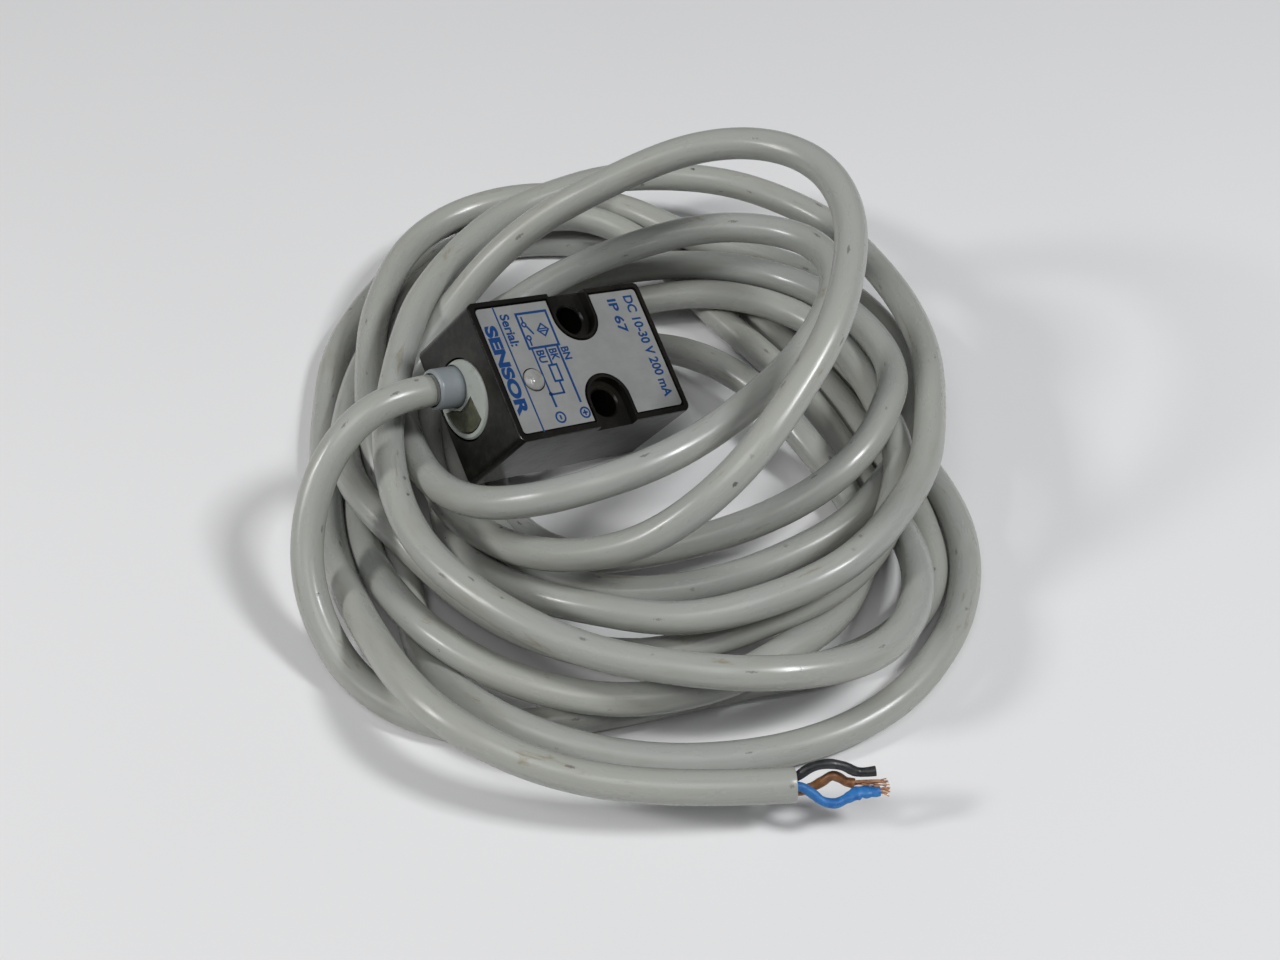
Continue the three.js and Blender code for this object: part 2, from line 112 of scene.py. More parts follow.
# ---------------------------------------------------------------- materials
class Nodes:
    """Short names for building one material's node tree."""

    def __init__(self, name, **shader):
        self.material = bpy.data.materials.new(name)
        self.material.use_nodes = True
        self.tree = self.material.node_tree
        self.shader = self.tree.nodes["Principled BSDF"]
        for key, value in shader.items():
            socket = key.replace("_", " ")
            self.shader.inputs[socket].default_value = value

    def node(self, kind, **settings):
        made = self.tree.nodes.new(kind)
        for key, value in settings.items():
            setattr(made, key, value)
        return made

    def link(self, out, into):
        self.tree.links.new(out, into)

    def put(self, into, value):
        if isinstance(value, bpy.types.NodeSocket):
            self.link(value, into)
        elif isinstance(value, (tuple, list)) and len(value) == 3 and into.type == "RGBA":
            into.default_value = (*value, 1)
        else:
            into.default_value = value

    def place(self, name, scale=(1, 1, 1)):
        """A stored point attribute, scaled, as texture coordinates."""
        attribute = self.node("ShaderNodeAttribute", attribute_name=name)
        mapping = self.node("ShaderNodeMapping")
        mapping.inputs["Scale"].default_value = scale
        self.link(attribute.outputs["Vector"], mapping.inputs["Vector"])
        return mapping.outputs["Vector"]

    def axis(self, vector, which):
        split = self.node("ShaderNodeSeparateXYZ")
        self.link(vector, split.inputs[0])
        return split.outputs[which]

    def noise(self, vector, scale, detail=4.0, rough=0.55, distortion=0.0):
        made = self.node("ShaderNodeTexNoise")
        self.link(vector, made.inputs["Vector"])
        made.inputs["Scale"].default_value = scale
        made.inputs["Detail"].default_value = detail
        made.inputs["Roughness"].default_value = rough
        made.inputs["Distortion"].default_value = distortion
        return made.outputs["Fac"]

    def cells(self, vector, scale, feature="F1"):
        made = self.node("ShaderNodeTexVoronoi", feature=feature)
        self.link(vector, made.inputs["Vector"])
        made.inputs["Scale"].default_value = scale
        return made.outputs["Distance"]

    def math(self, how, a, b=0.0, clamp=False):
        made = self.node("ShaderNodeMath", operation=how, use_clamp=clamp)
        self.put(made.inputs[0], a)
        self.put(made.inputs[1], b)
        return made.outputs[0]

    def ramp(self, value, low, high, to_low=0.0, to_high=1.0):
        made = self.node("ShaderNodeMapRange", interpolation_type="SMOOTHSTEP")
        self.put(made.inputs["Value"], value)
        for key, number in (("From Min", low), ("From Max", high), ("To Min", to_low), ("To Max", to_high)):
            made.inputs[key].default_value = number
        return made.outputs["Result"]

    def mix(self, factor, a, b, how="MIX"):
        made = self.node("ShaderNodeMix", data_type="RGBA", blend_type=how)
        self.put(made.inputs["Factor"], factor)
        self.put(made.inputs[6], a)
        self.put(made.inputs[7], b)
        return made.outputs[2]

    def bump(self, height, strength, distance, onto=None):
        made = self.node("ShaderNodeBump")
        self.put(made.inputs["Height"], height)
        made.inputs["Strength"].default_value = strength
        made.inputs["Distance"].default_value = distance
        if onto is not None:
            self.link(onto, made.inputs["Normal"])
        return made.outputs["Normal"]

    def out(self, **sockets):
        for key, value in sockets.items():
            self.put(self.shader.inputs[key.replace("_", " ")], value)
        return self.material


def cable_jacket():
    """Grey PVC: along.x runs down the cable in mm, along.y and along.z go round it."""
    n = Nodes("cable_jacket", Specular_IOR_Level=0.5)
    at = n.place("along")
    slow = n.noise(n.place("along", (0.02, 0.12, 0.12)), 1.0, 3.0)
    cloud = n.noise(n.place("along", (0.09, 0.35, 0.35)), 1.0, 5.0, 0.6)
    colour = n.mix(n.ramp(slow, 0.35, 0.68), (0.345, 0.356, 0.336), (0.37, 0.376, 0.342))
    colour = n.mix(n.ramp(cloud, 0.52, 0.8, 0.0, 0.5), colour, (0.27, 0.26, 0.2))
    # grey rub marks that run along the cable
    rub = n.noise(n.place("along", (0.12, 2.2, 2.2)), 1.0, 4.0, 0.65, 0.4)
    colour = n.mix(n.ramp(rub, 0.62, 0.78, 0.0, 0.35), colour, (0.2, 0.195, 0.17))
    # brownish stains, a few centimetres apart, and small black specks
    stain = n.noise(n.place("along", (0.05, 0.3, 0.3)), 1.7, 6.0, 0.7, 0.8)
    colour = n.mix(n.ramp(stain, 0.6, 0.72, 0.0, 0.6), colour, (0.22, 0.175, 0.09))
    ragged = n.math("MULTIPLY", n.noise(at, 3.2, 6.0, 0.7), 0.3)
    speck_size = n.cells(n.place("along", (0.2, 0.24, 0.24)), 1.0)
    speck = n.ramp(n.math("ADD", speck_size, ragged), 0.2, 0.235, 1.0, 0.0)
    patches = n.ramp(n.noise(n.place("along", (0.035, 0.12, 0.12)), 1.0, 3.0), 0.47, 0.62)
    speck = n.math("MULTIPLY", speck, patches)
    colour = n.mix(n.math("MULTIPLY", speck, 0.85), colour, (0.05, 0.045, 0.04))
    nick_size = n.cells(n.place("along", (0.11, 0.4, 0.4)), 1.0)
    nick = n.ramp(n.math("ADD", nick_size, ragged), 0.2, 0.25, 1.0, 0.0)
    colour = n.mix(n.math("MULTIPLY", nick, 0.6), colour, (0.09, 0.08, 0.07))
    roughness = n.ramp(cloud, 0.3, 0.8, 0.24, 0.38)
    fine = n.noise(n.place("along", (0.5, 2.5, 2.5)), 1.0, 3.0)
    wave = n.noise(n.place("along", (0.06, 0.4, 0.4)), 1.0, 2.0)
    normal = n.bump(wave, 0.35, 0.0004)
    normal = n.bump(fine, 0.06, 0.0001, normal)
    normal = n.bump(nick, 0.3, -0.00008, normal)
    return n.out(Base_Color=colour, Roughness=roughness, Normal=normal)


def core_plastic(name, colour, dark, roughness):
    n = Nodes(name)
    at = n.place("along")
    tint = n.mix(n.ramp(n.noise(at, 0.9, 5.0), 0.35, 0.7), colour, dark)
    return n.out(
        Base_Color=tint,
        Roughness=n.ramp(n.noise(at, 1.6), 0.3, 0.7, roughness, roughness + 0.2),
        Normal=n.bump(n.noise(at, 1.2, 4.0), 0.5, 0.00012),
    )


def bare_copper():
    n = Nodes("bare_copper", Metallic=1.0)
    at = n.place("along")
    colour = n.mix(n.ramp(n.noise(at, 1.5), 0.4, 0.7), (0.78, 0.42, 0.25), (0.4, 0.25, 0.16))
    return n.out(Base_Color=colour, Roughness=n.ramp(n.noise(at, 3.0), 0.3, 0.7, 0.25, 0.5))


def housing_paint():
    """Worn black paint on a die-cast block, in the sensor's own millimetres."""
    n = Nodes("housing_paint", Specular_IOR_Level=0.28)
    at = n.place("local")
    x, y, z = (n.axis(at, i) for i in range(3))
    fine = n.noise(at, 2.2, 6.0, 0.6)
    broad = n.noise(at, 0.22, 4.0)
    paint = n.mix(n.ramp(broad, 0.35, 0.7), (0.006, 0.0058, 0.0052), (0.012, 0.0105, 0.008))
    # the cable end is duller and browner, with dust round the plug
    end = n.ramp(x, -16.9, -16.1, 1.0, 0.0)
    dusty = n.mix(
        n.ramp(n.noise(at, 0.6, 8.0, 0.72), 0.42, 0.66), (0.003, 0.0028, 0.0024), (0.026, 0.0245, 0.019)
    )
    colour = n.mix(end, paint, dusty)
    near_y = n.math("SUBTRACT", y, DISC_Y + 0.5)
    near_z = n.math("SUBTRACT", z, DISC_Z + 1.0)
    far = n.math(
        "SQRT", n.math("ADD", n.math("MULTIPLY", near_y, near_y), n.math("MULTIPLY", near_z, near_z))
    )
    halo = n.math(
        "MULTIPLY", end, n.ramp(n.math("ADD", far, n.math("MULTIPLY", fine, 3.0)), 6.8, 9.6, 0.5, 0.0)
    )
    colour = n.mix(halo, colour, (0.062, 0.057, 0.042))
    # paint worn through along the edges of the block and of the rim
    edge_x = n.math("SUBTRACT", BODY[0] / 2, n.math("ABSOLUTE", x))
    edge_y = n.math("SUBTRACT", BODY[1] / 2, n.math("ABSOLUTE", y))
    top = n.math("SUBTRACT", BODY[2], z)
    wall = n.math("MINIMUM", edge_x, edge_y)
    at_edge = n.math("ADD", n.math("MAXIMUM", wall, 0.0), n.math("MAXIMUM", top, 0.0))
    chips = n.noise(at, 1.1, 8.0, 0.72, 0.5)
    worn = n.ramp(
        n.math("SUBTRACT", n.math("MULTIPLY", chips, 1.6), n.math("MULTIPLY", at_edge, 1.4)), 0.7, 0.8
    )
    colour = n.mix(worn, colour, (0.16, 0.15, 0.13))
    scuff = n.ramp(n.noise(n.place("local", (0.6, 3.0, 3.0)), 1.0, 8.0, 0.7, 1.0), 0.68, 0.78, 0.0, 0.4)
    colour = n.mix(scuff, colour, (0.04, 0.037, 0.03))
    dust = n.ramp(n.noise(at, 6.0, 3.0, 0.7), 0.7, 0.82, 0.0, 0.35)
    colour = n.mix(dust, colour, (0.06, 0.056, 0.045))
    gloss = n.ramp(broad, 0.3, 0.7, 0.18, 0.26)
    dull = n.math("ADD", n.math("MULTIPLY", end, 0.25), n.math("MULTIPLY", scuff, 0.3))
    roughness = n.math("ADD", gloss, dull, clamp=True)
    normal = n.bump(n.noise(at, 0.8, 3.0), 0.25, 0.00012)
    normal = n.bump(fine, 0.35, 0.00003, normal)
    normal = n.bump(worn, 0.4, -0.00003, normal)
    return n.out(
        Base_Color=colour, Roughness=roughness, Metallic=n.math("MULTIPLY", worn, 0.85), Normal=normal
    )


def label_foil():
    n = Nodes("label_foil", Metallic=0.15, Specular_IOR_Level=0.35)
    at = n.place("local")
    brushed = n.noise(n.place("local", (0.35, 9.0, 1.0)), 1.0, 5.0, 0.6)
    broad = n.noise(at, 0.25, 3.0)
    colour = n.mix(n.ramp(broad, 0.3, 0.7), (0.25, 0.258, 0.255), (0.29, 0.296, 0.288))
    colour = n.mix(n.ramp(brushed, 0.3, 0.75, 0.0, 0.25), colour, (0.25, 0.25, 0.25))
    scratch = n.ramp(n.noise(n.place("local", (2.0, 0.25, 1.0)), 2.4, 8.0, 0.75, 1.5), 0.69, 0.74, 0.0, 0.6)
    colour = n.mix(scratch, colour, (0.5, 0.5, 0.49))
    grime = n.ramp(n.noise(at, 0.6, 7.0, 0.7), 0.58, 0.8, 0.0, 0.45)
    colour = n.mix(grime, colour, (0.2, 0.19, 0.165))
    return n.out(
        Base_Color=colour,
        Roughness=n.ramp(brushed, 0.3, 0.7, 0.48, 0.6),
        Normal=n.bump(brushed, 0.12, 0.00002),
    )


def label_ink():
    n = Nodes("label_ink", Roughness=0.6, Specular_IOR_Level=0.2)
    at = n.place("local")
    worn = n.ramp(n.noise(at, 3.0, 8.0, 0.75), 0.63, 0.74, 0.0, 0.5)
    return n.out(Base_Color=n.mix(worn, (0.003, 0.042, 0.165), (0.06, 0.12, 0.22)))


def moulded(name, colour, dirt, roughness, amount=0.5):
    n = Nodes(name)
    at = n.place("local")
    cloud = n.noise(at, 0.7, 6.0, 0.65)
    tint = n.mix(n.ramp(cloud, 0.5, 0.8, 0.0, amount), colour, dirt)
    tint = n.mix(n.ramp(n.noise(at, 5.0, 4.0, 0.7), 0.66, 0.76, 0.0, 0.5), tint, dirt)
    return n.out(
        Base_Color=tint,
        Roughness=n.ramp(cloud, 0.3, 0.7, roughness, roughness + 0.18),
        Normal=n.bump(n.noise(at, 1.5, 4.0), 0.2, 0.00006),
    )


def resin():
    n = Nodes("resin")
    at = n.place("local")
    cloud = n.noise(at, 0.8, 6.0, 0.65)
    colour = n.mix(n.ramp(cloud, 0.35, 0.7), (0.055, 0.058, 0.034), (0.1, 0.1, 0.062))
    colour = n.mix(n.ramp(n.noise(at, 4.5, 5.0, 0.7), 0.6, 0.75, 0.0, 0.6), colour, (0.02, 0.02, 0.014))
    return n.out(Base_Color=colour, Roughness=0.32, Normal=n.bump(n.noise(at, 1.1, 3.0), 0.6, 0.00025))


def clear_plastic():
    """The indicator's dome: it shows nearly the colour of the label, with small glints painted into its
    colour as highlights.
    """
    n = Nodes("clear_plastic", Transmission_Weight=0.12, IOR=1.49, Roughness=0.08)
    at = n.place("local")
    colour = n.mix(n.ramp(n.noise(at, 1.0), 0.4, 0.7), (0.34, 0.345, 0.33), (0.3, 0.295, 0.26))
    # painted highlight: small pale specks mixed into the dome's colour stand in for glints of light
    painted_glint = n.ramp(n.noise(at, 1.5, 4.0, 0.6, 0.8), 0.62, 0.68, 0.0, 0.8)
    return n.out(
        Base_Color=n.mix(painted_glint, colour, (0.8, 0.8, 0.76)),
        Normal=n.bump(n.noise(at, 1.6, 3.0), 0.6, 0.0002),
    )


def inner(name, colour, other, roughness=0.45, metallic=0.0, scale=1.2):
    """Material of a piece inside the housing, laid out in mm of the object's own space."""
    n = Nodes(name, Metallic=metallic)
    mapping = n.node("ShaderNodeMapping")
    mapping.inputs["Scale"].default_value = (1000, 1000, 1000)
    n.link(n.node("ShaderNodeTexCoord").outputs["Object"], mapping.inputs["Vector"])
    at = mapping.outputs["Vector"]
    tint = n.mix(n.ramp(n.noise(at, scale, 5.0, 0.6), 0.4, 0.65), colour, other)
    return n.out(
        Base_Color=tint,
        Roughness=n.ramp(n.noise(at, scale * 2), 0.3, 0.7, roughness, roughness + 0.15),
        Normal=n.bump(n.noise(at, scale * 3), 0.2, 0.00005),
    )


def floor_sheet():
    n = Nodes("floor_sheet", Roughness=0.62, Specular_IOR_Level=0.25)
    at = n.node("ShaderNodeTexCoord").outputs["Object"]
    cloud = n.noise(at, 6.0, 3.0)
    return n.out(Base_Color=n.mix(n.ramp(cloud, 0.3, 0.7), (0.8, 0.8, 0.805), (0.78, 0.78, 0.785)))


# ---------------------------------------------------------------- the cable's route
# millimetres, one list for each round, from the sleeve to the stripped end
LEAD = [
    (-18, -9, 24.4), (-21, -11.1, 25.8), (-24, -12.9, 26.4), (-27, -15, 25.8), (-30, -18, 24),
    (-33, -21.5, 20.5), (-34.5, -25, 17), (-35.2, -29, 13.5), (-35, -33, 10.5), (-33.8, -36.5, 7.8),
    (-32, -40, 5.5),
]
ROUND_1 = [
    (-28.5, -44.5, 3), (-25, -47.5, 2.5), (-18, -51.5, 2.5), (-9, -53.3, 2.5), (0, -52, 2.5),
    (9, -50, 2.5), (20, -47, 2.5), (31.5, -43.5, 2.5), (41, -41.5, 2.5), (48.5, -37.5, 2.5),
    (53, -33, 2.5), (55.5, -28, 2.5), (56, -23, 2.5), (55, -18, 2.5), (53.5, -12.5, 2.5),
    (51.5, -5.5, 2.5), (48.5, 2, 2.5), (45, 10, 2.5), (40.5, 18.5, 2.5), (35.5, 26.5, 2.5),
    (31, 33, 2.5), (25, 39.5, 2.5), (18.5, 44, 2.5), (9.5, 47, 2.5), (-1, 48.5, 2.5),
    (-11, 48, 2.5), (-19.5, 44, 2.5), (-26, 35, 3.5), (-29.5, 23, 5.5), (-31.5, 12.5, 7),
    (-32, 4, 7.5), (-32, -3, 8),
]
ROUND_2 = [
    (-31.5, -8.5, 8), (-30, -12.5, 8), (-27.5, -16.5, 8), (-24, -20.5, 7.5), (-19.5, -25.5, 7),
    (-14, -31, 6), (-7.5, -36, 5), (1.5, -40.5, 4.5), (10, -43, 4.5), (17.5, -43, 5),
    (23, -42, 6), (30, -40, 7), (39, -36, 7.5), (44.5, -31.5, 7.5), (48.5, -25.5, 7.5),
    (51, -18.5, 7.5), (52, -11.5, 7.5), (52, -4.5, 7.5), (50.5, 2.5, 7.5), (48.5, 9.5, 7.5),
    (45.5, 17, 7.5), (39.5, 23.5, 7.5), (31.5, 27.5, 7.5), (23, 30.5, 6), (14.5, 31, 4.5),
    (6, 29, 3.5), (-2, 24, 3), (-10, 15, 3), (-16, 5, 3), (-18, -3.5, 3), (-17.5, -12, 3),
]
ROUND_3 = [
    (-15, -21, 4.5), (-10.5, -28, 6.5), (-4.9, -33.3, 9), (0.1, -36.6, 10.5), (7.6, -39.5, 12),
    (14.5, -41.9, 13), (21.4, -42.7, 14), (29.7, -41.2, 15.5), (38, -38.1, 16.5), (44.9, -32.7, 16.5),
    (50.2, -25.4, 16.5), (55.2, -16.1, 16), (57.3, -3.8, 15), (58.3, 7.5, 14), (57.3, 15.9, 13.5),
    (55.4, 23.3, 13), (51.9, 32.2, 12), (46.1, 43.6, 10.5), (39.2, 49, 10.5), (31.3, 53.5, 10.5),
    (23.4, 56.1, 10), (15, 55.6, 10.5), (7.5, 54.2, 11), (-0.9, 48.7, 12.5), (-9.4, 42.3, 13.5),
    (-16.4, 30.9, 15), (-20.8, 19.9, 16), (-23.3, 8.5, 16.5), (-24.3, -1.5, 16.5), (-24.8, -8.9, 16),
]
ROUND_4 = [
    (-23.6, -17.3, 16), (-21.5, -25, 16), (-16.9, -33.2, 16), (-8.9, -41.3, 16.5), (-0.6, -47, 16.5),
    (7.7, -50.8, 16.5), (14.5, -52.6, 17), (21.2, -54.4, 18), (27.5, -54.9, 18), (34.3, -53.5, 16.5),
    (41.6, -50.7, 14.5), (46.2, -47.6, 13), (49.7, -43.3, 12), (52.2, -38.5, 11), (53.3, -33.2, 10.5),
    (53.4, -27.4, 9), (52.6, -20.6, 6.5), (51.3, -13.8, 4), (48.5, -7.5, 2.5), (46, -2, 2.5),
    (44, 4, 2.5), (41, 10, 2.5), (38, 15, 2.5), (34, 20.5, 2.5), (30, 25.5, 2.5), (26, 30.5, 2.5),
    (21.5, 37.5, 2.5), (16.5, 45, 2.5), (11, 49.5, 3.5), (5, 50.5, 6), (-3, 49, 7.5),
    (-11.5, 45.5, 7.5), (-18.5, 38.5, 7.5), (-24, 29, 7.5), (-27, 19, 7.5), (-28, 8.5, 7.5),
    (-29, 1, 6), (-30.5, -4.5, 4), (-31, -10.5, 2.5),
]
ROUND_5 = [
    (-30, -17.5, 2.5), (-27.5, -24, 3), (-23, -32, 5), (-18, -40, 7.5), (-11, -46, 7.5),
    (-3.5, -50, 7.5), (4.5, -52.5, 7.5), (13, -53, 7), (21.5, -51.5, 7), (28.5, -48.5, 6),
    (35, -43, 4), (40.5, -38, 3), (44, -33, 2.5), (46.5, -27.5, 2.5), (48.5, -21.5, 2.5),
    (48.5, -15.5, 2.5), (47, -11, 3), (44.5, -7.5, 4), (41, -4, 6), (38, 0, 7),
    (35, 5, 7.5), (30.5, 9.5, 7.5), (25, 14, 7.5), (19.5, 18, 6), (13, 21.5, 3.5),
    (6.5, 21.5, 2.5), (-0.5, 17, 2.5), (-6.5, 9, 2.5), (-10.5, 0, 2.5), (-11, -8.5, 2.5),
    (-8.5, -16, 3),
]
ROUND_6 = [
    (-2, -22.5, 3.5), (5.5, -25.5, 4.5), (13, -25, 5.5), (19, -24.5, 6.5), (25, -23.5, 7.5),
    (32.5, -21.5, 9), (40, -18.5, 11), (46, -14, 12.5), (50.5, -7, 12.5), (53, 1, 12),
    (52.5, 9, 11.5), (49.5, 16, 11.5), (44.5, 23.5, 11), (39, 29, 10), (31.5, 33, 9.5),
    (23, 35, 9), (14.5, 36, 8), (6, 35, 7), (-2.5, 32, 6.5), (-9.5, 28, 6), (-14.5, 22.5, 6),
    (-18, 12.5, 7), (-19, 3.5, 7), (-19, -5, 7), (-17, -12.5, 6), (-13.5, -18, 6),
]
RAISED_LOOP = [
    (-8.4, -23.8, 8), (-2.7, -30.2, 12.5), (4.3, -34.1, 16.6), (13, -36.7, 22.4), (20.4, -35.5, 28),
    (28, -30.6, 33.5), (34.8, -21.3, 37.5), (39.4, -14, 40.5), (42.3, -4.4, 42.5), (43.5, 7.1, 44),
    (40.4, 17.5, 44.5), (35.6, 22.5, 44), (30.3, 25.4, 43), (24.4, 26.9, 41.5), (18.5, 27.3, 39.5),
    (13, 27.5, 36.5), (6.9, 26.7, 33.5), (0.2, 26.2, 29.5), (-6.2, 24.5, 25.5), (-12.8, 21.4, 20),
    (-18, 17.3, 15), (-21.7, 13, 11.5), (-23.3, 7.5, 9.5), (-24, 3, 8.5), (-22.5, -2.5, 9),
]
ROUND_8 = [
    (-19.8, -12.3, 12), (-15.4, -21.4, 16), (-9.7, -27, 19.5), (-3.7, -29.6, 23), (2.1, -30.4, 25.5),
    (7.4, -29.4, 27), (13, -27.5, 27.5), (21.4, -21.8, 27.5), (30.3, -12.5, 27), (36.9, -3.6, 26.5),
    (41.2, 4.9, 26.5), (43.5, 11.9, 27), (42.2, 19.1, 26.5), (38.5, 23.9, 25.5), (32.4, 26.9, 24.5),
    (24.4, 29.5, 22.5), (16.4, 30.4, 19.5), (8.1, 30.9, 15.5), (-0.3, 29.7, 12), (-8.3, 25.4, 9.5),
    (-13.9, 18, 9.5), (-16.5, 8.5, 10), (-17.5, 0.5, 9), (-16.5, -6, 7), (-14, -14, 5.5),
    (-8, -22.5, 5),
]
ROUND_9 = [
    (-1, -28.5, 4.5), (5.5, -31, 5), (13, -32, 5.5), (22, -31, 6), (29, -29, 6.5),
    (36.5, -25.5, 7), (44.5, -20.5, 7.5), (49.5, -14, 7.5), (53.5, -6.5, 7.5), (55.5, 1.5, 7.5),
    (56, 8, 7.5), (55, 17.5, 6.5), (52, 25, 6), (45.5, 32.5, 5.5), (39, 37, 5),
    (31, 39.5, 5), (23.5, 42, 5.5), (16.5, 45.5, 6.5), (8.5, 50.5, 7), (0.5, 53, 7.5),
    (-7.5, 53.5, 7.5), (-15, 51.5, 7.5), (-22, 47, 7.5), (-27.5, 39.5, 7.5), (-30, 30.5, 7.5),
    (-31.5, 20, 7.5), (-31, 9.5, 7.5), (-30.5, 1.5, 7), (-29.5, -4, 6),
]
ROUND_10 = [
    (-28, -9.5, 4), (-26, -15.5, 2.5), (-24.5, -22.5, 2.5), (-23, -29, 2.5), (-21.5, -35, 2.5),
    (-19, -42, 4), (-15, -48, 6), (-10.5, -52.5, 7.5), (-5, -56, 7.5), (2, -58, 6),
    (10.5, -59, 4), (18.5, -59, 3), (28, -58, 2.5), (35, -56.5, 2.5), (42.5, -53.5, 2.5),
    (46.5, -51, 2.5), (51.5, -47, 2.5), (55.5, -41.5, 2.5), (59, -36, 2.5), (61, -30, 2.5),
    (62, -24.5, 2.5), (62, -18.5, 2.5), (61, -13.5, 2.5), (59, -8, 2.5), (56, -2, 2.5),
    (53.5, 3.5, 2.5), (50.5, 10, 2.5), (46.5, 17, 2.5), (42, 23.5, 2.5), (37, 30, 2.5),
    (31, 37.5, 2.5), (24.5, 44.5, 2.5), (15, 49.5, 2.5), (4, 53, 2.5), (-6, 54.5, 2.5),
    (-14.5, 53, 2.5), (-23.5, 48, 2.5), (-30.5, 38.5, 2.5), (-35, 29, 2.5), (-37.5, 20.5, 2.5),
    (-37.5, 11, 2.5), (-37, 2, 2.5), (-36, -5.5, 2.5),
]
TAIL = [
    (-34.5, -12.5, 2.5), (-32.7, -20.7, 2.9), (-29.8, -29.9, 4.6), (-25.5, -39.8, 7.9),
    (-20.3, -49.8, 11.2), (-14.7, -57.2, 12.8), (-8.3, -61.7, 12.5), (-0.5, -64.9, 11.2),
    (8.2, -66.6, 10), (16.9, -67.2, 9.6), (25.6, -67.1, 9.4), (33.4, -66.5, 9.1),
]
ROUTE = (
    LEAD + ROUND_1 + ROUND_2 + ROUND_3 + ROUND_4 + ROUND_5 + ROUND_6 + RAISED_LOOP + ROUND_8
    + ROUND_9 + ROUND_10 + TAIL
)


def curve_through(points, step):
    """Points about step apart on a centripetal Catmull-Rom curve through the given ones."""
    p = np.array(points, float)
    p = np.vstack([2 * p[0] - p[1], p, 2 * p[-1] - p[-2]])
    pieces = []
    for i in range(1, len(p) - 2):
        a, b, c, d = p[i - 1 : i + 3]
        t0 = 0.0
        t1 = t0 + math.sqrt(np.linalg.norm(b - a))
        t2 = t1 + math.sqrt(np.linalg.norm(c - b))
        t3 = t2 + math.sqrt(np.linalg.norm(d - c))
        t = np.linspace(t1, t2, 24, endpoint=False)[:, None]
        a1 = (t1 - t) / (t1 - t0) * a + (t - t0) / (t1 - t0) * b
        a2 = (t2 - t) / (t2 - t1) * b + (t - t1) / (t2 - t1) * c
        a3 = (t3 - t) / (t3 - t2) * c + (t - t2) / (t3 - t2) * d
        b1 = (t2 - t) / (t2 - t0) * a1 + (t - t0) / (t2 - t0) * a2
        b2 = (t3 - t) / (t3 - t1) * a2 + (t - t1) / (t3 - t1) * a3
        pieces.append((t2 - t) / (t2 - t1) * b1 + (t - t1) / (t2 - t1) * b2)
    return respaced(np.vstack([*pieces, p[-2]]), step)


def respaced(line, step):
    along = np.concatenate([[0], np.cumsum(np.linalg.norm(np.diff(line, axis=0), axis=1))])
    at = np.linspace(0, along[-1], max(2, round(along[-1] / step) + 1))
    return np.stack([np.interp(at, along, line[:, k]) for k in range(3)], axis=1)


def smoothed(line, times):
    """The line with its small waves taken out; its ends stay."""
    line = line.copy()
    for _ in range(times):
        line[1:-1] = 0.5 * line[1:-1] + 0.25 * (line[:-2] + line[2:])
    return line


def out_of_block(points, r):
    """Moves points that are nearer than r to the housing straight out of it."""
    turn = np.array(SENSOR_TURN.to_3x3())
    half = np.array(BODY) / 2
    middle = np.array(SENSOR_PLACE) + turn @ np.array((0, 0, half[2]))
    local = (points - middle) @ turn
    nearest = np.clip(local, -half, half)
    away = local - nearest
    far = np.linalg.norm(away, axis=1)
    close = (far < r) & (far > 1e-9)
    local[close] = nearest[close] + away[close] / far[close, None] * r
    inside = far <= 1e-9
    local[inside, 2] = -half[2] - r
    return local @ turn.T + middle


REACH = 3.0
LAST_ROUNDS = 40


def settled(start, d, rounds=320):
    """The cable with its turns laid beside and on each other, a diameter apart, on the floor and
    clear of the block."""
    line = start.copy()
    skip = math.ceil(2.2 * d / np.linalg.norm(start[1] - start[0]))
    first, second = np.triu_indices(len(start), skip)
    for turn in range(rounds):
        if turn % 15 == 0:
            near = ((line[first] - line[second]) ** 2).sum(1) < (d + REACH) ** 2
            i, j = first[near], second[near]
        if turn < rounds - LAST_ROUNDS:
            line = start + 0.997 * smoothed(line - start, 3)
        for _ in range(2):
            apart = line[i] - line[j]
            far = np.linalg.norm(apart, axis=1) + 1e-9
            hit = np.nonzero(far < d)[0]
            push = apart[hit] / far[hit, None] * (d - far[hit])[:, None] * 0.5
            moved, count = np.zeros_like(line), np.zeros(len(line))
            np.add.at(moved, i[hit], push)
            np.add.at(moved, j[hit], -push)
            np.add.at(count, i[hit], 1)
            np.add.at(count, j[hit], 1)
            line += moved / np.maximum(count, 1)[:, None] * 1.2
            line[:, 2] = np.maximum(line[:, 2], d / 2)
            line[6:] = out_of_block(line[6:], d / 2)
            line[:3] = start[:3]
    return line


def link(obj):
    scene.collection.objects.link(obj)
    return obj


def new_mesh(name, vertices, faces, material):
    data = bpy.data.meshes.new(name)
    data.from_pydata([tuple(v) for v in vertices], [], faces)
    data.validate()
    data.polygons.foreach_set("use_smooth", [True] * len(data.polygons))
    data.materials.append(material)
    data.update()
    return link(bpy.data.objects.new(name, data))


def store(obj, name, values):
    attribute = obj.data.attributes.new(name, "FLOAT_VECTOR", "POINT")
    attribute.data.foreach_set("vector", np.asarray(values, np.float32).ravel())


def frames_along(line):
    """Tangent, side and up of a tube along a line, without twist."""
    tangent = np.gradient(line, axis=0)
    tangent /= np.linalg.norm(tangent, axis=1)[:, None]
    side = np.zeros_like(line)
    start = np.cross(tangent[0], (0, 0, 1.0))
    side[0] = start / np.linalg.norm(start)
    for k in range(1, len(line)):
        s = side[k - 1] - tangent[k] * (side[k - 1] @ tangent[k])
        side[k] = s / np.linalg.norm(s)
    return tangent, side, np.cross(tangent, side)


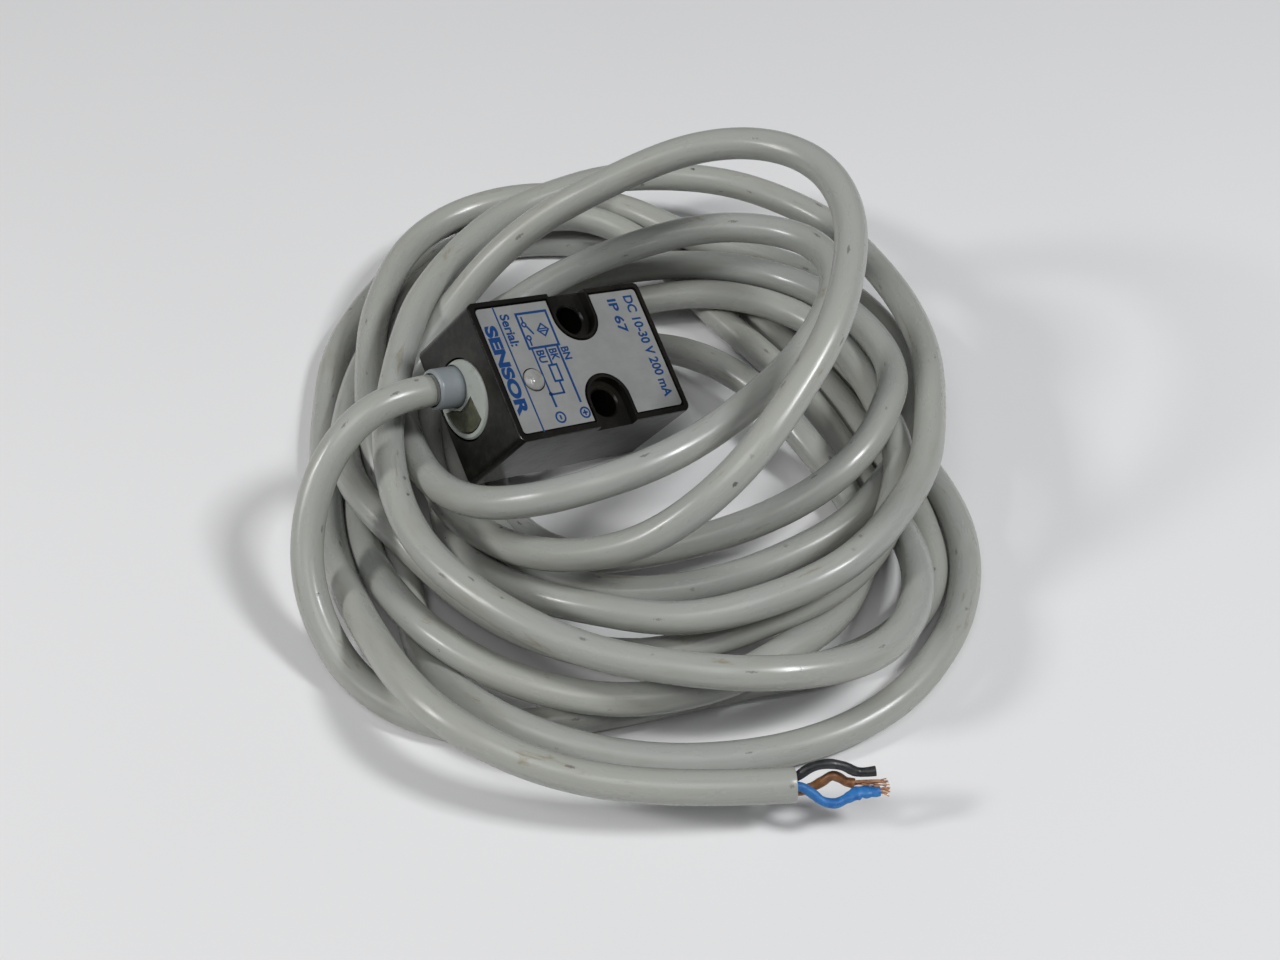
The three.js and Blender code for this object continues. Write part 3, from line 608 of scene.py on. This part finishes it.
def tube(name, line, radius, sides, material, flat=None, hollow=0.0, depth=0.0):
    """A closed tube along a line in mm. flat squashes its section, and hollow with depth sinks
    its far end."""
    radius = np.broadcast_to(np.asarray(radius, float), (len(line),))
    flat = np.ones(len(line)) if flat is None else flat
    tangent, side, up = frames_along(line)
    angle = np.arange(sides) / sides * 2 * math.pi
    across = np.cos(angle)[None, :, None] * side[:, None]
    upright = (flat[:, None, None] * np.sin(angle)[None, :, None]) * up[:, None]
    ring = radius[:, None, None] * (across + upright)
    points = line[:, None] + ring
    along = np.concatenate([[0], np.cumsum(np.linalg.norm(np.diff(line, axis=0), axis=1))])
    grid = [points.reshape(-1, 3)]
    marks = np.stack(
        [
            np.repeat(along, sides),
            np.tile(np.cos(angle), len(line)) * np.repeat(radius, sides),
            np.tile(np.sin(angle), len(line)) * np.repeat(radius, sides),
        ],
        axis=1,
    )
    marks = [marks]
    # rings that close the far end: a rounded edge, the cut face, then down into the hollow
    rims = [(0.985, 0.06), (0.94, 0.09)]
    if hollow:
        rims += [(hollow + 0.03, 0.09), (hollow, 0.03), (hollow, -depth)]
    for share, out in rims:
        grid.append(line[-1] + tangent[-1] * out + ring[-1] * share)
        marks.append(marks[0][-sides:] * (1, share, share) + (out, 0, 0))
    vertices = np.vstack(grid)
    faces = []
    rings = len(vertices) // sides
    for k in range(rings - 1):
        for s in range(sides):
            n = (s + 1) % sides
            faces.append((k * sides + s, k * sides + n, (k + 1) * sides + n, (k + 1) * sides + s))
    faces.append(tuple(range(sides))[::-1])
    faces.append(tuple((rings - 1) * sides + s for s in range(sides)))
    obj = new_mesh(name, vertices * MM, faces, material)
    store(obj, "along", np.vstack(marks))
    return obj


route = curve_through(ROUTE, 2.0)
route = settled(smoothed(route, 6), 2 * CABLE_R)
route = respaced(smoothed(route, 2), 2.0)
fine_route = curve_through(route, 1.0)
JACKET = cable_jacket()
cable = tube("cable", fine_route, CABLE_R, 28, JACKET, hollow=0.72, depth=0.8)
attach(cable, "root")
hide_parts("cable_lead", "cable_coil", "cable_loop", "cable_tail")

# ---------------------------------------------------------------- the stripped end
CORES = {
    "core_black": [
        (33, -66, 9.7), (33.9, -65.7, 10.1), (35.4, -65.1, 11), (37.5, -64.9, 11.7), (39.7, -64.9, 11.2),
        (41.6, -65.1, 10.1), (42.8, -65.1, 10), (44.1, -65, 10.1),
    ],
    "core_brown": [
        (33, -66.6, 7.9), (34.4, -66.4, 7.5), (35.9, -66, 7.8), (37.2, -65.6, 8.5), (38.4, -65.3, 9.4),
        (39.4, -65.2, 8.8), (40.4, -65.4, 8.1), (41.4, -65.6, 8),
    ],
    "core_blue": [
        (33, -67, 9.5), (34.2, -67, 9.4), (35.9, -67.6, 8.5), (37.1, -68.2, 7.8), (38.8, -68.4, 7.6),
        (40.3, -67.8, 7.8), (42, -67, 8), (43.4, -66.9, 8), (44.7, -66.8, 8.1),
    ],
}
CORE_LOOK = {
    "core_black": core_plastic("core_black_pvc", (0.012, 0.013, 0.014), (0.035, 0.036, 0.038), 0.3),
    "core_brown": core_plastic("core_brown_pvc", (0.3, 0.13, 0.045), (0.17, 0.07, 0.025), 0.35),
    "core_blue": core_plastic("core_blue_pvc", (0.03, 0.2, 0.52), (0.015, 0.12, 0.38), 0.35),
}
COPPER = bare_copper()
for node, points in CORES.items():
    line = curve_through(points, 0.2)
    share = np.linspace(0, 1, len(line))
    radius = CORE_R + 0.03 * np.sin(share * 23 + len(node))
    flat = None
    if node == "core_blue":
        crushed = np.clip((share - 0.62) / 0.1, 0, 1) * np.clip((1.02 - share) / 0.1, 0, 1)
        radius = radius * (1 + 0.42 * crushed * (1 + 0.35 * np.sin(share * 60)))
        flat = 1 - 0.35 * crushed
    core = tube(node + "_look", line, radius, 20, CORE_LOOK[node], flat=flat)
    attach(core, "root")
    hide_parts(node)


def strand_bundle(name, node, start, end, count, spread):
    """Fine copper wires that fan out of a core's end, as one mesh."""
    start, end = np.array(start, float), np.array(end, float)
    rng = np.random.default_rng(len(name))
    bm = bmesh.new()
    marks = []
    for k in range(count):
        turn = k * 2.4
        inner = 0.34 * math.sqrt((k + 0.5) / count)
        offset = np.array((0, math.cos(turn), math.sin(turn))) * inner
        stray = rng.normal(0, spread, 3) * (0.4, 1, 0.8)
        reach = 0.75 + 0.35 * rng.random()
        tip = start + (end - start) * reach + offset * 1.5 + stray
        bend = (start + offset + tip) / 2 + rng.normal(0, 0.12, 3) + (0, 0, 0.12)
        wire = tube(f"{name}_{k}", curve_through([start + offset, bend, tip], 0.25), WIRE_R, 7, COPPER)
        bm.from_mesh(wire.data)
        values = np.zeros(len(wire.data.vertices) * 3, np.float32)
        wire.data.attributes["along"].data.foreach_get("vector", values)
        marks.append(values.reshape(-1, 3) + (7.0 * k, 0, 0))
        bpy.data.objects.remove(wire)
    data = bpy.data.meshes.new(name)
    bm.to_mesh(data)
    bm.free()
    if "along" in data.attributes:
        data.attributes.remove(data.attributes["along"])
    data.polygons.foreach_set("use_smooth", [True] * len(data.polygons))
    data.materials.append(COPPER)
    obj = link(bpy.data.objects.new(name, data))
    store(obj, "along", np.vstack(marks))
    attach(obj, "root")
    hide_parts(node)
    return obj


strand_bundle("copper_of_brown", "strands_brown", (41.3, -65.6, 8.1), (45.4, -66, 8.9), 16, 0.2)
strand_bundle("copper_of_blue", "strands_blue", (44.6, -66.8, 8.2), (45.9, -66.7, 8.3), 14, 0.22)


# ---------------------------------------------------------------- the sensor
def in_sensor(obj, slot, *nodes):
    """A piece of the sensor: its points also carry their place in the sensor's own mm, for its material."""
    co = np.zeros(len(obj.data.vertices) * 3, np.float32)
    obj.data.vertices.foreach_get("co", co)
    turn = np.array(TO_LOCAL)
    store(obj, "local", co.reshape(-1, 3) @ turn[:3, :3].T + turn[:3, 3])
    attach(obj, "root")
    if nodes:
        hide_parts(*nodes)
    return obj


def rounded(obj, width, segments=3, angle=28):
    """Rounds the edges of a piece by width in mm and shades its flat faces flat."""
    obj.data.polygons.foreach_set("use_smooth", [True] * len(obj.data.polygons))
    if width:
        edges = obj.modifiers.new("edges", "BEVEL")
        edges.width = width * MM
        edges.segments = segments
        edges.limit_method = "ANGLE"
        edges.angle_limit = math.radians(angle)
    weighted = obj.modifiers.new("normals", "WEIGHTED_NORMAL")
    weighted.weight = 60
    weighted.keep_sharp = True
    made = bpy.data.meshes.new_from_object(obj.evaluated_get(bpy.context.evaluated_depsgraph_get()))
    obj.modifiers.clear()
    obj.data = made
    return obj


def from_cad(node, name, material, width, segments=3, angle=28):
    """A copy of a CAD node with its flat faces joined and its edges rounded."""
    bm = bmesh.new()
    bm.from_mesh(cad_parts[node].data)
    bmesh.ops.remove_doubles(bm, verts=bm.verts, dist=0.002 * MM)
    bmesh.ops.dissolve_limit(bm, angle_limit=math.radians(0.8), verts=bm.verts, edges=bm.edges)
    data = bpy.data.meshes.new(name)
    bm.to_mesh(data)
    bm.free()
    data.materials.clear()
    data.materials.append(material)
    return rounded(link(bpy.data.objects.new(name, data)), width, segments, angle)


HOUSING = housing_paint()
in_sensor(from_cad("housing", "housing_look", HOUSING, 0.14), "black_paint", "housing")
in_sensor(from_cad("label_plate", "label_plate_look", label_foil(), 0.03, 2), "label_foil", "label_plate")
WHITE = moulded("white_plastic", (0.4, 0.43, 0.4), (0.17, 0.165, 0.13), 0.3)
GREY = moulded("grey_plastic", (0.235, 0.26, 0.275), (0.17, 0.18, 0.18), 0.32, 0.35)
in_sensor(from_cad("end_disc", "end_disc_look", WHITE, 0.12), "white_plastic", "end_disc")
in_sensor(from_cad("cable_sleeve", "cable_sleeve_look", GREY, 0.1), "grey_plastic", "cable_sleeve")
in_sensor(from_cad("resin_plug", "resin_plug_look", resin(), 0.08), "resin", "resin_plug")
window = from_cad("led_window", "led_window_look", clear_plastic(), 0.05)
LED_PLACE = Matrix.Translation((LED_X, LED_Y, 0))
window.data.transform(
    SENSOR @ LED_PLACE @ Matrix.Diagonal((LED_SPREAD, LED_SPREAD, 1, 1)) @ LED_PLACE.inverted() @ TO_LOCAL
)
in_sensor(window, "clear_plastic", "led_window")


# ---------------------------------------------------------------- the pieces inside
INNER = [
    (inner("board_laminate", (0.02, 0.12, 0.04), (0.012, 0.075, 0.03), 0.35), ("circuit_board",)),
    (inner("chip_moulding", (0.012, 0.012, 0.013), (0.022, 0.022, 0.024), 0.45, scale=3.0),
     ("oscillator_ic", "output_transistor", "protection_diode")),
    (inner("chip_ceramic", (0.4, 0.31, 0.19), (0.3, 0.22, 0.13), 0.4, scale=2.0),
     ("chip_resistor_1", "chip_resistor_2", "chip_resistor_3", "resonance_capacitor", "smoothing_capacitor")),
    (inner("ferrite_body", (0.03, 0.03, 0.033), (0.05, 0.048, 0.048), 0.55, scale=2.5), ("ferrite_core",)),
    (inner("natural_nylon", (0.55, 0.51, 0.38), (0.48, 0.43, 0.3), 0.4), ("coil_bobbin",)),
    (inner("enamelled_copper", (0.62, 0.25, 0.1), (0.4, 0.15, 0.06), 0.25, 0.9, 3.0),
     ("coil_winding", "coil_lead_1", "coil_lead_2")),
    (inner("crimp_brass", (0.6, 0.43, 0.17), (0.42, 0.3, 0.13), 0.3, 1.0), ("crimp_ring",)),
    (inner("potting", (0.012, 0.012, 0.011), (0.022, 0.02, 0.017), 0.4, scale=0.6), ("potting_fill",)),
    (inner("cap_moulding", (0.014, 0.014, 0.014), (0.025, 0.024, 0.022), 0.42, scale=2.0), ("sensing_cap",)),
    (inner("inner_jacket", (0.4, 0.41, 0.39), (0.34, 0.34, 0.31), 0.35), ("cable_end_inner",)),
    (inner("indicator_body", (0.6, 0.25, 0.06), (0.5, 0.18, 0.04), 0.2), ("indicator_led",)),
    (inner("lead_black_pvc", (0.012, 0.013, 0.014), (0.03, 0.03, 0.032), 0.3), ("lead_black",)),
    (inner("lead_brown_pvc", (0.16, 0.06, 0.02), (0.11, 0.04, 0.015), 0.3), ("lead_brown",)),
    (inner("lead_blue_pvc", (0.02, 0.13, 0.45), (0.015, 0.09, 0.33), 0.3), ("lead_blue",)),
]
for material, names in INNER:
    for name in names:
        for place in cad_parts[name].material_slots:
            place.material = material


# ---------------------------------------------------------------- print on the label
INK = label_ink()
ink = bmesh.new()
INK_LOW, INK_HIGH = LABEL_TOP - 0.01, LABEL_TOP + 0.02


def ink_shape(outline, inner=None):
    """A flat closed shape on the label, with a hole when inner has as many points as outline."""
    rings = [outline] if inner is None else [outline, inner]
    low = [[ink.verts.new((x, y, INK_LOW)) for x, y in ring] for ring in rings]
    high = [[ink.verts.new((x, y, INK_HIGH)) for x, y in ring] for ring in rings]
    count = len(outline)
    if inner is None:
        ink.faces.new(high[0])
        ink.faces.new(low[0][::-1])
    for k in range(count):
        n = (k + 1) % count
        ink.faces.new((low[0][k], low[0][n], high[0][n], high[0][k]))
        if inner is not None:
            ink.faces.new((low[1][n], low[1][k], high[1][k], high[1][n]))
            ink.faces.new((high[0][k], high[0][n], high[1][n], high[1][k]))
            ink.faces.new((low[0][n], low[0][k], low[1][k], low[1][n]))


def ink_line(a, b, width):
    a, b = Vector(a), Vector(b)
    side = (b - a).normalized().orthogonal() * width / 2
    ink_shape([a + side, a - side, b - side, b + side][::-1])


def ink_ring(x, y, r, width, sides=32):
    def circle(radius):
        turns = (2 * math.pi * k / sides for k in range(sides))
        return [(x + radius * math.cos(t), y + radius * math.sin(t)) for t in turns]

    ink_shape(circle(r), circle(r - width))


def ink_frame(x0, y0, x1, y1, width):
    outer = [(x0, y0), (x1, y0), (x1, y1), (x0, y1)]
    w = width
    ink_shape(outer, [(x0 + w, y0 + w), (x1 - w, y0 + w), (x1 - w, y1 - w), (x0 + w, y1 - w)])


def ink_text(words, base, top, start, end, weight):
    """Letters that stand on x = base with their tops at x = top and run along y from start to end."""
    curve = bpy.data.curves.new("letters", "FONT")
    curve.body = words
    curve.offset = weight
    curve.extrude = 0.1
    curve.resolution_u = 6
    obj = link(bpy.data.objects.new("letters", curve))
    mesh = obj.evaluated_get(bpy.context.evaluated_depsgraph_get()).to_mesh()
    letters = bmesh.new()
    letters.from_mesh(mesh)
    xs = [v.co.x for v in letters.verts]
    ys = [v.co.y for v in letters.verts]
    for v in letters.verts:
        along = (v.co.x - min(xs)) / (max(xs) - min(xs))
        up = (v.co.y - min(ys)) / (max(ys) - min(ys))
        high = v.co.z > 0
        v.co = (base + (top - base) * up, start + (end - start) * along, INK_HIGH if high else INK_LOW)
    part = bpy.data.meshes.new("letters")
    letters.to_mesh(part)
    letters.free()
    ink.from_mesh(part)
    bpy.data.objects.remove(obj)


ink_text("SENSOR", -15.0, -12.85, 7.25, -7.3, 0.05)
ink_line((-12.08, 10.15), (-11.82, -10.5), 0.26)
ink_text("Serial:", -11.5, -9.85, 8.75, 3.5, 0.028)
ink_frame(-8.75, 2.6, -2.8, 8.7, 0.39)
ink_line((-7.8, 8.0), (-7.8, 7.1), 0.29)
ink_ring(-7.8, 6.7, 0.48, 0.26)
ink_line((-7.45, 6.35), (-6.7, 5.0), 0.31)
ink_ring(-7.85, 4.5, 0.48, 0.26)
ink_line((-7.85, 4.05), (-7.85, 3.2), 0.29)
ink_shape(
    [(-4.78, 4.3), (-3.6, 5.5), (-4.78, 6.7), (-5.96, 5.5)],
    [(-4.78, 4.68), (-3.98, 5.5), (-4.78, 6.32), (-5.58, 5.5)],
)
ink_line((-5.5, 5.68), (-4.05, 5.68), 0.21)
ink_line((-5.5, 5.32), (-4.05, 5.32), 0.21)
ink_line((-8.12, 2.62), (-8.05, -4.7), 0.29)
ink_line((-8.02, -4.7), (-7.98, -6.9), 0.39)
ink_line((-5.68, 2.62), (-5.66, -0.1), 0.34)
ink_frame(-6.5, -3.05, -4.75, -0.1, 0.34)
ink_line((-5.6, -3.0), (-5.56, -4.95), 0.34)
ink_line((-8.1, -4.85), (-5.45, -4.85), 0.31)
ink_ring(-8.03, -4.75, 0.34, 0.43)
ink_line((-3.42, 2.62), (-3.36, -6.8), 0.39)
ink_text("BU", -7.65, -6.2, 2.3, 0.25, 0.03)
ink_text("BK", -5.3, -3.85, 2.3, 0.4, 0.03)
ink_text("BN", -3.0, -1.6, 2.3, 0.2, 0.03)
ink_ring(-7.95, -8.55, 0.95, 0.29)
ink_line((-7.95, -8.2), (-7.95, -8.9), 0.31)
ink_ring(-3.32, -8.5, 0.95, 0.29)
ink_line((-3.32, -8.05), (-3.32, -8.95), 0.29)
ink_line((-3.77, -8.5), (-2.87, -8.5), 0.29)
ink_text("IP 67", 9.15, 10.95, 8.85, 3.1, 0.026)
ink_text("DC 10-30 V 200 mA", 12.5, 14.3, 9.1, -8.4, 0.026)
ink_data = bpy.data.meshes.new("label_print")
ink.to_mesh(ink_data)
ink.free()
ink_data.materials.append(INK)
ink_data.transform(SENSOR)
in_sensor(link(bpy.data.objects.new("label_print", ink_data)), None)

# ---------------------------------------------------------------- floor
floor_data = bpy.data.meshes.new("floor")
floor_data.from_pydata([(-3, -3, 0), (3, -3, 0), (3, 3, 0), (-3, 3, 0)], [], [(0, 1, 2, 3)])
floor_data.materials.append(floor_sheet())
floor = link(bpy.data.objects.new("floor", floor_data))
